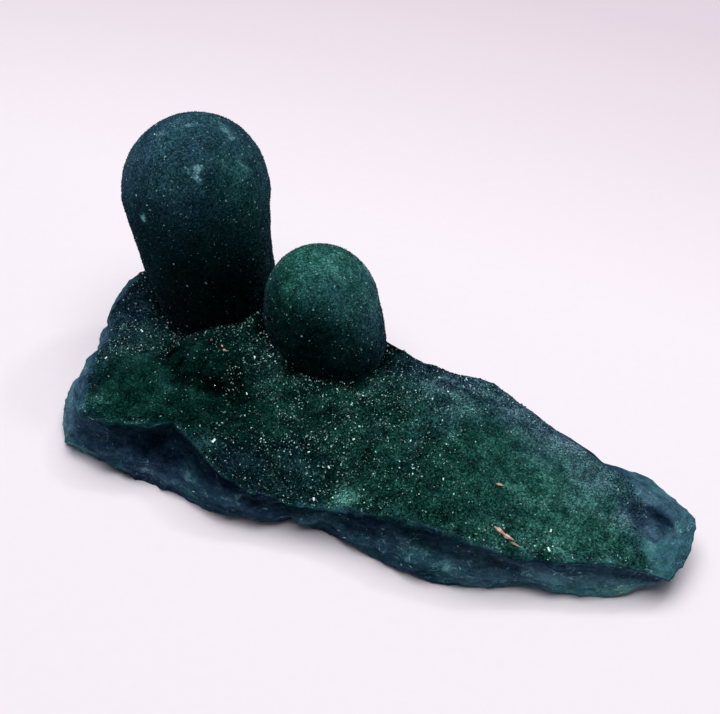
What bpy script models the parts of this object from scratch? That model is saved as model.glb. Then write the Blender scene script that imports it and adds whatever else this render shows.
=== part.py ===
"""A malachite specimen: two blunt stalactites standing on a broken slab of crystal-crusted malachite.

The whole specimen is one grown stone, so it is one object. The slab starts as a box cut into a grid, whose points are
carried onto the stone by blending the line of its upper rim with the line of its foot. The stalactites are turned
shapes, leaned over a little, and joined to the slab by Boolean unions.

Frame: +Z up, the underside on Z = 0, +X along the slab from the broad end to the narrow end, and the origin in the
middle of the footprint. Sizes are in millimetres and become metres where a mesh is written.
"""

import bmesh
import bpy
import numpy as np

MM = 0.001
SPECIMEN = "malachite_specimen"

# Grid of the slab's box: cells along it, across it, and up its broken sides. The cells crowd towards the rim.
CELLS_ALONG = 62
CELLS_ACROSS = 24
CELLS_UP = 7
CROWDING = 0.35

# Walks round the slab's edge. Each station is the rim (x, y, z), the foot (x, y), then three measures of the broken
# side there: how far it is hollowed under the rim, how far it stands out low down, and how wide a bevel is broken off
# the rim itself.
FRONT_EDGE = (
    (-26.6, -15.4, 6.2, -30.1, -14.6, 0.3, 0.6, 0.6),  # near corner of the broad end
    (-23.3, -15.6, 6.8, -25.5, -15.4, 0.9, 0.9, 0.2),
    (-18.7, -14.1, 7.2, -19.4, -16.0, 1.6, 0.6, 0.0),
    (-16.5, -12.8, 7.2, -16.9, -16.0, 1.6, 0.6, 0.0),
    (-13.9, -14.0, 7.2, -14.1, -16.1, 1.8, 0.3, 0.0),
    (-11.4, -15.3, 7.0, -11.8, -16.4, 1.2, 0.4, 0.0),  # the rim steps out and starts to drop
    (-9.1, -16.3, 6.0, -8.2, -16.8, 0.9, 0.6, 0.0),
    (-6.1, -16.2, 5.0, -4.9, -15.4, 1.0, 0.5, 0.0),
    (-2.5, -15.6, 4.4, -2.1, -13.7, 1.2, 0.5, 0.0),
    (1.6, -14.6, 4.4, 0.5, -13.9, 0.9, 0.4, 0.0),  # thinnest stretch
    (4.7, -14.1, 5.0, 4.9, -14.1, 0.8, 0.4, 0.0),
    (10.1, -13.9, 6.3, 10.8, -15.2, 1.2, 0.2, 0.0),
    (14.2, -13.6, 6.4, 14.1, -15.0, 1.5, 0.2, 0.0),
    (18.2, -13.2, 6.0, 18.3, -13.5, 1.3, 0.2, 0.0),
    (21.3, -12.3, 5.0, 21.9, -12.1, 0.9, 0.2, 0.0),
    (25.5, -10.5, 4.6, 26.0, -10.8, 0.5, 0.3, 0.2),
    (29.9, -8.9, 4.9, 30.0, -9.3, 0.6, 0.3, 0.4),
    (32.6, -7.8, 4.1, 31.8, -8.3, 0.6, 0.2, 0.3),
    (35.6, -7.0, 3.0, 33.5, -6.2, 0.3, 0.0, 2.2),  # near corner of the narrow end
)
NARROW_END = (
    (35.6, -7.0, 3.0, 33.5, -6.2, 0.3, 0.0, 2.2),
    (36.5, -3.6, 3.2, 34.9, -3.6, 0.2, 0.0, 3.2),
    (36.4, -1.0, 3.7, 35.3, -0.8, 0.1, 0.2, 3.4),
    (35.9, 1.1, 4.0, 35.2, 1.0, 0.0, 0.4, 3.4),
    (33.5, 2.5, 4.2, 33.9, 2.7, 0.0, 0.7, 3.0),
)
BACK_EDGE = (
    (-35.5, 9.1, 5.8, -36.1, 9.4, 0.2, 0.8, 1.8),  # far corner of the broad end
    (-32.3, 13.2, 5.8, -32.5, 13.6, 0.2, 0.6, 1.6),
    (-27.1, 16.4, 6.0, -26.8, 16.8, 0.3, 0.4, 0.8),
    (-18.1, 16.6, 6.0, -18.1, 16.6, 0.6, 0.2, 0.6),
    (-10.0, 15.2, 5.8, -10.0, 15.8, 0.4, 0.2, 1.0),
    (-3.9, 11.1, 5.5, -3.7, 11.7, 0.0, 0.4, 1.6),
    (2.5, 9.5, 5.2, 2.5, 10.3, 0.2, 0.5, 2.2),
    (6.5, 9.7, 5.0, 6.7, 9.9, 0.2, 0.4, 2.4),
    (10.6, 10.1, 5.0, 10.6, 10.5, 0.3, 0.5, 2.4),
    (14.3, 8.3, 5.0, 14.5, 8.7, 0.2, 0.3, 2.4),
    (19.6, 5.9, 5.0, 19.7, 6.2, 0.3, 0.5, 2.2),
    (23.5, 4.8, 5.0, 23.4, 5.2, 0.2, 0.2, 1.8),  # a chip out of the back edge
    (25.3, 3.9, 4.7, 25.3, 4.2, 0.2, 0.3, 2.2),
    (30.0, 4.2, 4.4, 30.0, 4.6, 0.2, 0.5, 2.8),
    (33.5, 2.5, 4.2, 33.9, 2.7, 0.0, 0.7, 3.0),
)
BROAD_END = (
    (-26.6, -15.4, 6.2, -30.1, -14.6, 0.3, 0.6, 0.6),
    (-30.1, -12.0, 5.8, -32.5, -11.6, 0.2, 0.6, 1.4),
    (-31.9, -7.0, 5.8, -33.7, -7.2, 0.2, 1.2, 1.8),
    (-31.5, -3.4, 5.8, -32.5, -3.6, 0.2, 1.4, 2.0),
    (-34.1, 0.0, 5.8, -34.9, -0.3, 0.2, 1.0, 1.6),
    (-35.3, 3.8, 5.8, -35.6, 3.6, 0.0, 0.9, 1.8),  # a rounded shoulder
    (-35.7, 7.2, 5.8, -36.5, 7.2, 0.2, 0.8, 1.8),
    (-35.5, 9.1, 5.8, -36.1, 9.4, 0.2, 0.8, 1.8),
)

# The bevel rises inwards at this slope. Inside it the crust swells by so much, over so far.
BEVEL_SLOPE = 0.55
CROWN_HEIGHT = 0.5
CROWN_REACH = 3.0

# Rounded swellings of the crust: centre (x, y), radius, height, and how softly each one rises (0.5 is a half ball,
# 1.5 is a soft mound).
SWELLINGS = (
    (-17.6, -1.2, 6.4, 2.4, 0.75),  # a stalactite that hardly grew, in front of the tall one
    (-13.0, 2.8, 6.5, 3.2, 0.9),  # the saddle between the two stalactites
    (-8.1, -3.0, 7.0, 1.2, 1.4),
    (-1.6, -2.0, 6.0, 0.9, 1.4),
    (-4.6, -9.6, 5.4, 0.8, 1.4),
    (3.9, -7.8, 6.4, 0.9, 1.4),
    (6.5, 1.6, 6.4, 0.8, 1.4),
    (12.3, -7.0, 5.6, 0.8, 1.4),
    (14.3, -0.2, 6.2, 1.0, 1.4),
    (20.5, -4.6, 6.6, 1.0, 1.4),
    (26.3, -4.8, 4.6, 0.6, 1.4),
    (-24.7, -8.4, 6.4, 0.6, 1.4),
    (-28.7, 1.6, 5.6, 0.7, 1.4),
)
# Where the crust sinks, at the foot of each stalactite: centre (x, y), radius and depth.
DIPS = (
    (-25.0, 2.0, 9.0, 1.8),
    (-2.0, 4.0, 4.5, 0.8),
)

# The scoop broken out of the narrow end: centre, half length, half width, depth, and its turn in radians.
SCOOP_CENTRE = (32.4, -2.9)
SCOOP_HALF = (2.6, 1.8)
SCOOP_DEPTH = 1.3
SCOOP_TURN = -0.1

# The broken sides: how far the breaks stand in and out and the size of one break, and the steps left by its layers.
BREAK_DEPTH = 0.6
BREAK_SIZE = 3.6
LAYER_DEPTH = 0.4
LAYERS_UP = 3.0

# The underside is flat where it rests, with shallow hollows, and lifts a little at the edge.
HOLLOW_DEPTH = 1.0
HOLLOW_SIZE = 7.0
LIFT_AT_EDGE = 0.5
LIFT_REACH = 2.0

# Each stalactite: foot centre (x, y) at the height where it leaves the slab, and (height, radius) up to the shoulder.
# The crown above the shoulder is a half ellipse of this height for each millimetre of radius. Lean is the offset
# (x, y) for each millimetre of height, and bend brings the axis back upright.
KNOB_FOOT_Z = 6.0
KNOB_ROOT = 3.2
TALL = {
    "foot": (-23.75, 8.75),
    "profile": ((0.0, 7.05), (7.3, 7.6), (14.6, 8.25)),
    "crown": 1.05,
    "lean": (-0.26, 0.02),
    "bend": 0.0078,
    "rings": 18,
    "sides": 44,
    "seed": 21,
}
SHORT = {
    "foot": (-8.65, 6.7),
    "profile": ((0.0, 6.95), (3.0, 6.85), (6.0, 6.35)),
    "crown": 1.01,
    "lean": (-0.08, 0.01),
    "bend": 0.0021,
    "rings": 14,
    "sides": 40,
    "seed": 22,
}


def noise(points, size, seed):
    """Smooth noise from -1 to 1 at points in millimetres: random slopes on a lattice of this size, blended."""
    scaled = np.asarray(points, float) / size
    cell = np.floor(scaled).astype(np.int64)
    part = scaled - cell
    fade = part * part * part * (part * (part * 6 - 15) + 10)
    total = np.zeros(len(scaled))
    for corner in np.ndindex(2, 2, 2):
        corner = np.array(corner)
        key = (cell + corner) * (73856093, 19349663, 83492791)
        mixed = key[:, 0] ^ key[:, 1] ^ key[:, 2] ^ (seed * 2654435761)
        mixed = (mixed ^ (mixed >> 13)) * 1274126177 & 0xFFFFFFFF
        slopes = np.stack([(mixed >> shift & 1023) / 511.5 - 1 for shift in (2, 11, 20)], 1)
        share = np.where(corner, fade, 1 - fade).prod(1)
        total += share * ((part - corner) * slopes).sum(1)
    return total * 1.6


def station_at(edge, along):
    """Each station value at shares 0..1 of the edge's length, straight between stations."""
    edge = np.array(edge)
    steps = np.linalg.norm(np.diff(edge[:, :2], axis=0), axis=1)
    share = np.concatenate([[0], np.cumsum(steps)]) / steps.sum()
    return np.stack([np.interp(along, share, column) for column in edge.T], 1)


def inside_edges(u, v):
    """The station values anywhere inside the four edges, blended from the edges as a Coons patch."""
    front, back = station_at(FRONT_EDGE, u), station_at(BACK_EDGE, u)
    broad, narrow = station_at(BROAD_END, v), station_at(NARROW_END, v)
    u, v = u[:, None], v[:, None]
    corners = (
        (1 - u) * (1 - v) * FRONT_EDGE[0]
        + u * (1 - v) * FRONT_EDGE[-1]
        + (1 - u) * v * BACK_EDGE[0]
        + u * v * BACK_EDGE[-1]
    )
    return (1 - v) * front + v * back + (1 - u) * broad + u * narrow - corners


def rim_distance(places):
    """Distance in plan from each place (x, y) to the nearest stretch of the rim."""
    rim = np.array(FRONT_EDGE + NARROW_END[1:] + BACK_EDGE[-2::-1] + BROAD_END[-2::-1])[:, :2]
    nearest = np.full(len(places), np.inf)
    for start, end in zip(rim[:-1], rim[1:]):
        stretch = end - start
        along = np.clip((places - start) @ stretch / (stretch @ stretch), 0, 1)
        gap = places - start - along[:, None] * stretch
        nearest = np.minimum(nearest, np.hypot(gap[:, 0], gap[:, 1]))
    return nearest


def outward(u, v, places):
    """Unit vectors in plan, pointing from the slab's long middle line to each place."""
    middle = inside_edges(np.clip(u, 0.14, 0.92), np.full_like(v, 0.5))[:, :2]
    away = places - middle
    return away / np.maximum(np.linalg.norm(away, axis=1), 1e-6)[:, None]


def crust_height(x, y):
    """Height added to the upper face by the swellings, and taken from it by the scoop."""
    height = np.zeros_like(x)
    for centre_x, centre_y, radius, swell, softness in SWELLINGS:
        near = np.clip(1 - ((x - centre_x) ** 2 + (y - centre_y) ** 2) / radius**2, 0, 1)
        height = np.maximum(height, swell * near**softness)
    for centre_x, centre_y, radius, depth in DIPS:
        height -= depth * np.clip(1 - ((x - centre_x) ** 2 + (y - centre_y) ** 2) / radius**2, 0, 1)
    across, along = x - SCOOP_CENTRE[0], y - SCOOP_CENTRE[1]
    turned_x = np.cos(SCOOP_TURN) * across + np.sin(SCOOP_TURN) * along
    turned_y = np.cos(SCOOP_TURN) * along - np.sin(SCOOP_TURN) * across
    scoop = np.clip(1 - (turned_x / SCOOP_HALF[0]) ** 2 - (turned_y / SCOOP_HALF[1]) ** 2, 0, 1)
    return height - SCOOP_DEPTH * scoop**0.7


def slab_points(u, v, w):
    """Carries the box onto the stone: u runs along it, v across it and w from the foot (0) to the rim (1)."""
    stations = inside_edges(u, v)
    rim, foot = stations[:, :3], stations[:, 3:5]
    hollow, ledge, bevel = stations[:, 5:].T
    inwards = rim_distance(rim[:, :2])
    at_edge = np.exp(-((inwards / 0.9) ** 2))
    points = np.column_stack([foot + (rim[:, :2] - foot) * w[:, None], rim[:, 2] * w])

    low = np.interp(w, (0.0, 0.15, 0.38, 0.52), (0.0, 0.7, 1.0, 0.0))
    high = np.interp(w, (0.38, 0.54, 0.78, 0.92), (0.0, 1.0, 0.9, 0.0))
    body = np.clip(4 * w * (1 - w), 0, 1) ** 0.5
    climb = LAYERS_UP * w + 0.9 * noise(points, 9.0, 5)
    layer = LAYER_DEPTH * (climb - np.floor(climb) - 0.5)
    breaks = BREAK_DEPTH * (0.9 - 2.4 * np.abs(noise(points, BREAK_SIZE, 11)))
    push = ledge * low - hollow * high + layer * body + breaks * (0.3 + 0.7 * body)
    points[:, :2] += outward(u, v, rim[:, :2]) * (push * at_edge)[:, None]

    past_bevel = np.maximum(inwards - bevel, 0)
    rise = BEVEL_SLOPE * np.minimum(inwards, bevel)
    rise += CROWN_HEIGHT * (1 - np.exp(-((past_bevel / CROWN_REACH) ** 2)))
    crust = crust_height(points[:, 0], points[:, 1]) * np.clip(past_bevel / 1.5, 0, 1)
    ripple = 0.3 * noise(points, 5.0, 3) * np.clip(inwards, 0, 1)
    points[:, 2] += w * (rise + crust + ripple)

    dip = HOLLOW_DEPTH * noise(points, HOLLOW_SIZE, 7) - 0.35
    lift = LIFT_AT_EDGE * np.exp(-((inwards / LIFT_REACH) ** 2))
    points[:, 2] += (1 - w) * np.maximum(dip + lift, 0)
    return points


def clear_scene():
    for old in list(bpy.data.objects):
        bpy.data.objects.remove(old)


def new_collection(name):
    made = bpy.data.collections.new(name)
    bpy.context.scene.collection.children.link(made)
    return made


def malachite():
    """Dark green copper carbonate: the crust is dull and faintly velvety, the breaks are waxy."""
    material = bpy.data.materials.new("malachite")
    material.use_nodes = True
    surface = material.node_tree.nodes["Principled BSDF"]
    surface.inputs["Base Color"].default_value = (0.012, 0.060, 0.048, 1)
    surface.inputs["Roughness"].default_value = 0.62
    surface.inputs["Metallic"].default_value = 0.0
    return material


def add_object(name, mesh, collection, material):
    made = bpy.data.objects.new(name, mesh)
    mesh.materials.append(material)
    collection.objects.link(made)
    return made


def slab_mesh():
    """A box cut into a grid, with its points carried onto the stone."""
    grid = bmesh.new()
    bmesh.ops.create_cube(grid, size=1.0)
    for axis, cells in enumerate((CELLS_ALONG, CELLS_ACROSS, CELLS_UP)):
        running = [
            edge
            for edge in grid.edges
            if abs(edge.verts[0].co[axis] - edge.verts[1].co[axis]) > 0.5
        ]
        bmesh.ops.subdivide_edges(grid, edges=running, cuts=cells - 1, use_grid_fill=True)
    box = np.array([vert.co for vert in grid.verts]) + 0.5
    crowded = box - CROWDING * np.sin(2 * np.pi * box) / (2 * np.pi)
    places = slab_points(crowded[:, 0], crowded[:, 1], box[:, 2])
    for vert, place in zip(grid.verts, places * MM):
        vert.co = place
    mesh = bpy.data.meshes.new("slab")
    grid.to_mesh(mesh)
    grid.free()
    return mesh


def knob_profile(knob):
    """(radius, height) down the outside of a stalactite, from the tip of its crown to its root in the slab."""
    heights, radii = np.array(knob["profile"]).T
    shoulder, shoulder_radius = heights[-1], radii[-1]
    crown_rings = knob["rings"] // 2
    turn = np.linspace(np.pi / 2, 0, crown_rings, endpoint=False)
    crown = [
        (shoulder_radius * np.cos(a), shoulder + shoulder_radius * knob["crown"] * np.sin(a))
        for a in turn
    ]
    wall_heights = np.linspace(shoulder, 0, knob["rings"] - crown_rings)
    wall = list(zip(np.interp(wall_heights, heights, radii), wall_heights))
    root = [(radii[0] - 0.6, -KNOB_ROOT * 0.5), (radii[0] * 0.7, -KNOB_ROOT), (0.0, -KNOB_ROOT)]
    return crown + wall + root


def knob_points(places, knob):
    """Roughens an upright turned stalactite a little, leans and bends it, and sets it on its foot."""
    height = places[:, 2]
    swell = 1 + 0.012 * noise(places + 40, 6.0, knob["seed"])
    x = places[:, 0] * swell + knob["foot"][0] + knob["lean"][0] * height + knob["bend"] * height**2
    y = places[:, 1] * swell + knob["foot"][1] + knob["lean"][1] * height
    return np.column_stack([x, y, height + KNOB_FOOT_Z])


def knob_guide(name, knob, collection, material):
    """A turned shape from its profile, leaned over and bent back, to be joined to the slab."""
    profile = bmesh.new()
    previous = None
    for radius, height in knob_profile(knob):
        vert = profile.verts.new((radius * MM, 0, height * MM))
        if previous is not None:
            profile.edges.new((previous, vert))
        previous = vert
    mesh = bpy.data.meshes.new(name + "_profile")
    profile.to_mesh(mesh)
    profile.free()
    turned = add_object(name + "_profile", mesh, collection, material)
    screw = turned.modifiers.new("turn", "SCREW")
    screw.steps = screw.render_steps = knob["sides"]
    screw.use_merge_vertices = True
    screw.merge_threshold = 0.00002
    graph = bpy.context.evaluated_depsgraph_get()
    round_mesh = bpy.data.meshes.new_from_object(turned.evaluated_get(graph))
    bpy.data.objects.remove(turned)

    places = np.empty(len(round_mesh.vertices) * 3)
    round_mesh.vertices.foreach_get("co", places)
    places = knob_points(places.reshape(-1, 3) / MM, knob)
    round_mesh.vertices.foreach_set("co", (places * MM).ravel())
    guide = bpy.data.objects.new(name, round_mesh)
    collection.objects.link(guide)
    guide.hide_render = True
    guide.display_type = "WIRE"
    return guide


def main():
    clear_scene()
    stone = malachite()
    specimen_group = new_collection(SPECIMEN)
    guides = new_collection("joined_shapes")
    specimen = add_object(SPECIMEN, slab_mesh(), specimen_group, stone)
    for name, knob in (("tall_stalactite", TALL), ("short_stalactite", SHORT)):
        union = specimen.modifiers.new("join_" + name, "BOOLEAN")
        union.operation = "UNION"
        union.object = knob_guide(name, knob, guides, stone)


main()
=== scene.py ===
"""A malachite specimen: two velvety stalactites on a broken slab, its upper face crusted with tiny crystals.

Every surface is a function of two parameters, worked out on a whole grid at once. Lengths are in millimetres
until a mesh is written. The stone replaces the frame's plain one, and the crystals and crumbs lie on it.
"""

from functools import partial

import bpy
import numpy as np
from mathutils import Matrix, Vector


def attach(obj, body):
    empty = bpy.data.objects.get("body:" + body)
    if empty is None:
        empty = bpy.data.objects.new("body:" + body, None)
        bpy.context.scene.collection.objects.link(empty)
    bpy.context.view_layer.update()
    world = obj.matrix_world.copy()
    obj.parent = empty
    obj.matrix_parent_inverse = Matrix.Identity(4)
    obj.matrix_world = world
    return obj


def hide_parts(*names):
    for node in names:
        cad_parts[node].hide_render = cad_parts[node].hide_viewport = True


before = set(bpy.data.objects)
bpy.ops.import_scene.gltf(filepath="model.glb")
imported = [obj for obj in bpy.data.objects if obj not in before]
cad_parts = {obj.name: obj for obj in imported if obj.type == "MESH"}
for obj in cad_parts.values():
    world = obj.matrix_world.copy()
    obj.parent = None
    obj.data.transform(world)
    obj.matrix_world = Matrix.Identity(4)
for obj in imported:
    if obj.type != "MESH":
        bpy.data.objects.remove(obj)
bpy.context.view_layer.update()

MM = 0.001
NODE = "malachite_specimen"


def show(name, data):
    """Adds an object at the origin that shows this mesh, light or camera."""
    shown = bpy.data.objects.new(name, data)
    bpy.context.scene.collection.objects.link(shown)
    return shown


# ---------------- camera and light

VIEW_AZIMUTH, VIEW_ELEVATION = 26.0, 41.0
VIEW_DISTANCE = 150.0
VIEW_AIM = (-7.22, 12.67, 0.0)
VIEW_LENS, SENSOR_WIDTH = 62.5, 36.0
CLIP_START = 0.005

OVERHEAD = (-0.02, 0.03, 0.42)
# Square lights that face the origin: name, place and width in metres, watts and colour.
LIGHTS = (
    ("overhead", OVERHEAD, 0.42, 2.08, (1.0, 0.99, 1.0)),
    ("window", (0.12, 0.25, 0.40), 0.05, 0.22, (1.0, 1.0, 1.0)),
)
ROOM_COLOUR, ROOM_STRENGTH = (0.95, 0.93, 1.0, 1.0), 0.12
FLOOR_HALF, FLOOR_DROP = 1.5, 0.00002


def view_directions():
    """Unit vectors right, up and backwards for a camera at this azimuth and elevation."""
    azimuth, elevation = np.radians(VIEW_AZIMUTH), np.radians(VIEW_ELEVATION)
    right = np.array([np.cos(azimuth), np.sin(azimuth), 0.0])
    level = np.array([np.sin(azimuth), -np.cos(azimuth)]) * np.cos(elevation)
    back = np.array([*level, np.sin(elevation)])
    return right, np.cross(back, right), back


def add_camera():
    """The camera, looking at VIEW_AIM from VIEW_DISTANCE away."""
    right, up, back = view_directions()
    data = bpy.data.cameras.new("view")
    data.lens, data.sensor_width, data.clip_start = VIEW_LENS, SENSOR_WIDTH, CLIP_START
    camera = show("view", data)
    turn = Matrix([Vector(axis) for axis in (right, up, back)]).transposed()
    place = Vector((np.array(VIEW_AIM) + VIEW_DISTANCE * back) * MM)
    camera.matrix_world = Matrix.Translation(place) @ turn.to_4x4()
    bpy.context.scene.camera = camera


def add_lights():
    """A wide soft light overhead, a small one behind that the crystals catch, and a dim pale room."""
    for name, place, width, watts, colour in LIGHTS:
        data = bpy.data.lights.new(name, "AREA")
        data.size, data.energy, data.color = width, watts, colour
        light = show(name, data)
        light.location = place
        light.rotation_euler = (-Vector(place)).to_track_quat("-Z", "Y").to_euler()
    world = bpy.data.worlds.new("studio")
    world.use_nodes = True
    background = world.node_tree.nodes["Background"]
    background.inputs["Color"].default_value = ROOM_COLOUR
    background.inputs["Strength"].default_value = ROOM_STRENGTH
    bpy.context.scene.world = world
    bpy.context.scene.view_settings.view_transform = "Standard"


# ---------------- the stone's shape, in millimetres

# Walks along the slab's edges, left to right or front to back. Each station is the rim (x, y, z), the foot
# (x, y), then three measures of the broken side: how far it is hollowed under the rim, how far it stands out
# low down, and how wide a bevel is broken off the rim itself.
FRONT_EDGE = (
    (-26.6, -15.4, 6.2, -30.1, -14.6, 0.3, 0.6, 0.6),
    (-23.3, -15.6, 6.8, -25.5, -15.4, 0.9, 0.9, 0.2),
    (-18.7, -14.1, 7.2, -19.4, -16.0, 1.6, 0.6, 0.0),
    (-16.5, -12.8, 7.2, -16.9, -16.0, 1.6, 0.6, 0.0),
    (-13.9, -14.0, 7.2, -14.1, -16.1, 1.8, 0.3, 0.0),
    (-11.4, -15.3, 7.0, -11.8, -16.4, 1.2, 0.4, 0.0),
    (-9.1, -16.3, 6.0, -8.2, -16.8, 0.9, 0.6, 0.0),
    (-6.1, -16.2, 5.0, -4.9, -15.4, 1.0, 0.5, 0.0),
    (-2.5, -15.6, 4.4, -2.1, -13.7, 1.2, 0.5, 0.0),
    (1.6, -14.6, 4.4, 0.5, -13.9, 0.9, 0.4, 0.0),
    (4.7, -14.1, 5.0, 4.9, -14.1, 0.8, 0.4, 0.0),
    (10.1, -13.9, 6.3, 10.8, -15.2, 1.2, 0.2, 0.0),
    (14.2, -13.6, 6.4, 14.1, -15.0, 1.5, 0.2, 0.0),
    (18.2, -13.2, 6.0, 18.3, -13.5, 1.3, 0.2, 0.0),
    (21.3, -12.3, 5.0, 21.9, -12.1, 0.9, 0.2, 0.0),
    (25.5, -10.5, 4.6, 26.0, -10.8, 0.5, 0.3, 0.2),
    (29.9, -8.9, 4.9, 30.0, -9.3, 0.6, 0.3, 0.4),
    (32.6, -7.8, 4.1, 31.8, -8.3, 0.6, 0.2, 0.3),
    (35.6, -7.0, 3.0, 33.5, -6.2, 0.3, 0.0, 2.2),
)
BACK_EDGE = (
    (-35.5, 9.1, 5.8, -36.1, 9.4, 0.2, 0.8, 1.8),
    (-32.3, 13.2, 5.8, -32.5, 13.6, 0.2, 0.6, 1.6),
    (-27.1, 16.4, 6.0, -26.8, 16.8, 0.3, 0.4, 0.8),
    (-18.1, 16.6, 6.0, -18.1, 16.6, 0.6, 0.2, 0.6),
    (-10.0, 15.2, 5.8, -10.0, 15.8, 0.4, 0.2, 1.0),
    (-3.9, 11.1, 5.5, -3.7, 11.7, 0.0, 0.4, 1.6),
    (2.5, 9.5, 5.2, 2.5, 10.3, 0.2, 0.5, 2.2),
    (6.5, 9.7, 5.0, 6.7, 9.9, 0.2, 0.4, 2.4),
    (10.6, 10.1, 5.0, 10.6, 10.5, 0.3, 0.5, 2.4),
    (14.3, 8.3, 5.0, 14.5, 8.7, 0.2, 0.3, 2.4),
    (19.6, 5.9, 5.0, 19.7, 6.2, 0.3, 0.5, 2.2),
    (23.5, 4.8, 5.0, 23.4, 5.2, 0.2, 0.2, 1.8),
    (25.3, 3.9, 4.7, 25.3, 4.2, 0.2, 0.3, 2.2),
    (30.0, 4.2, 4.4, 30.0, 4.6, 0.2, 0.5, 2.8),
    (33.5, 2.5, 4.2, 33.9, 2.7, 0.0, 0.7, 3.0),
)
NARROW_END = (
    FRONT_EDGE[-1],
    (36.5, -3.6, 3.2, 34.9, -3.6, 0.2, 0.0, 3.2),
    (36.4, -1.0, 3.7, 35.3, -0.8, 0.1, 0.2, 3.4),
    (35.9, 1.1, 4.0, 35.2, 1.0, 0.0, 0.4, 3.4),
    BACK_EDGE[-1],
)
BROAD_END = (
    FRONT_EDGE[0],
    (-30.1, -12.0, 5.8, -32.5, -11.6, 0.2, 0.6, 1.4),
    (-31.9, -7.0, 5.8, -33.7, -7.2, 0.2, 1.2, 1.8),
    (-31.5, -3.4, 5.8, -32.5, -3.6, 0.2, 1.4, 2.0),
    (-34.1, 0.0, 5.8, -34.9, -0.3, 0.2, 1.0, 1.6),
    (-35.3, 3.8, 5.8, -35.6, 3.6, 0.0, 0.9, 1.8),
    (-35.7, 7.2, 5.8, -36.5, 7.2, 0.2, 0.8, 1.8),
    BACK_EDGE[0],
)

# The crust rises over the bevel, then bulges a little within the crown's reach of it. The swellings and the
# grain rise to their full height within reaches of their own.
BEVEL_SLOPE = 0.55
CROWN_HEIGHT, CROWN_REACH = 0.5, 3.0
SWELL_REACH, GRAIN_REACH = 1.5, 0.5
# Layers of noise: strength, size in millimetres, seed.
CRUST_RIPPLE = ((0.3, 5.0, 3),)
CRUST_GRAIN = ((0.16, 1.9, 14), (0.08, 0.8, 15))
RAGGED_EDGE = ((0.5, 1.8, 16), (0.25, 0.6, 17))
RAGGED_END = ((0.8, 3.0, 22),)

# Rounded swellings of the crust: centre (x, y), radius, height, and how softly each one rises.
SWELLINGS = (
    (-17.6, -1.2, 6.4, 2.4, 0.75),
    (-13.0, 2.8, 6.5, 3.2, 0.9),
    (-8.1, -3.0, 7.0, 1.2, 1.4),
    (-1.6, -2.0, 6.0, 0.9, 1.4),
    (-4.6, -9.6, 5.4, 0.8, 1.4),
    (3.9, -7.8, 6.4, 0.9, 1.4),
    (6.5, 1.6, 6.4, 0.8, 1.4),
    (12.3, -7.0, 5.6, 0.8, 1.4),
    (14.3, -0.2, 6.2, 1.0, 1.4),
    (20.5, -4.6, 6.6, 1.0, 1.4),
    (26.3, -4.8, 4.6, 0.6, 1.4),
    (-24.7, -8.4, 6.4, 0.6, 1.4),
    (-28.7, 1.6, 5.6, 0.7, 1.4),
)
# Where the crust sinks, at the foot of each stalactite: centre (x, y), radius and depth.
DIPS = (
    (-25.0, 2.0, 9.0, 1.8),
    (-2.0, 4.0, 4.5, 0.8),
)

# The scoop broken out of the narrow end: an oval bowl, turned by this many radians.
SCOOP_CENTRE = (32.4, -2.9)
SCOOP_HALF = (2.6, 1.8)
SCOOP_DEPTH, SCOOP_SOFTNESS = 1.3, 0.7
SCOOP_TURN = -0.1

# The shares of the slab's length where its long middle line, which the sides face away from, starts and stops.
MIDDLE_LINE = (0.14, 0.92)
# The broken side is felt this far in from the rim. Its ledge and hollow come and go with the share of its
# height: first the shares, then how much of the measure shows there.
SIDE_REACH = 0.9
LEDGE_UP = ((0.0, 0.15, 0.38, 0.52), (0.0, 0.7, 1.0, 0.0))
HOLLOW_UP = ((0.38, 0.54, 0.78, 0.92), (0.0, 1.0, 0.9, 0.0))
BREAK_DEPTH, BREAK_SIZE = 0.6, 3.6
LAYER_DEPTH, LAYERS_UP = 0.4, 3.0
LAYER_WAVES = ((0.9, 9.0, 5),)

# The crust ends at the line where x and y times the first two numbers add up to the third.
CRUST_END = (1.0, 0.4, 29.3)
# Where the rim has lost its crust: centre (x, y), radius, how far in from the rim.
CHIPPED_RIM = (
    (-36.0, 4.0, 3.5, 1.6),
    (-35.5, 9.5, 3.0, 0.8),
    (-33.0, -8.0, 4.0, 2.6),
    (-30.0, -13.5, 3.0, 2.2),
    (3.5, -14.0, 1.6, 0.5),
    (-12.1, -14.3, 1.4, 0.3),
    (10.0, 9.8, 3.0, 0.7),
    (23.0, 4.8, 3.0, 1.0),
    (28.5, 3.5, 4.0, 2.4),
)

# Hollows of the underside, as noise less the share that stays shut. They open at the foot of the slab's side.
HOLLOWS = ((1.0, 7.0, 7),)
HOLLOWS_SHUT = 0.35
LIFT_AT_EDGE, LIFT_REACH = 0.5, 2.0

# The stalactites. profile holds (height, radius) up the wall, crown the height of the rounded top in radii,
# and bend how much the lean grows with height. The skin pales over pale_reach below the tip, and
# painted_sheen_slope makes one side bluer, a painted sheen.
KNOB_FOOT_Z = 6.0
KNOB_ROOT = 3.2
TALL = {
    "foot": (-23.75, 8.75),
    "profile": ((0.0, 7.05), (7.3, 7.6), (14.6, 8.25)),
    "crown": 1.05,
    "lean": (-0.26, 0.02),
    "bend": 0.0078,
    "rings": 90,
    "sides": 132,
    "seed": 21,
    "pale_reach": 16.0,
    "paleness": 0.42,
    "blueness": 0.65,
    "painted_sheen_slope": -0.03,
    "crystals": 22000,
}
SHORT = {
    "foot": (-8.65, 6.7),
    "profile": ((0.0, 6.95), (3.0, 6.85), (6.0, 6.35)),
    "crown": 1.01,
    "lean": (-0.08, 0.01),
    "bend": 0.0021,
    "rings": 60,
    "sides": 120,
    "seed": 22,
    "pale_reach": 13.0,
    "paleness": 0.50,
    "blueness": 0.12,
    "painted_sheen_slope": 0.05,
    "crystals": 11000,
}
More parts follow.
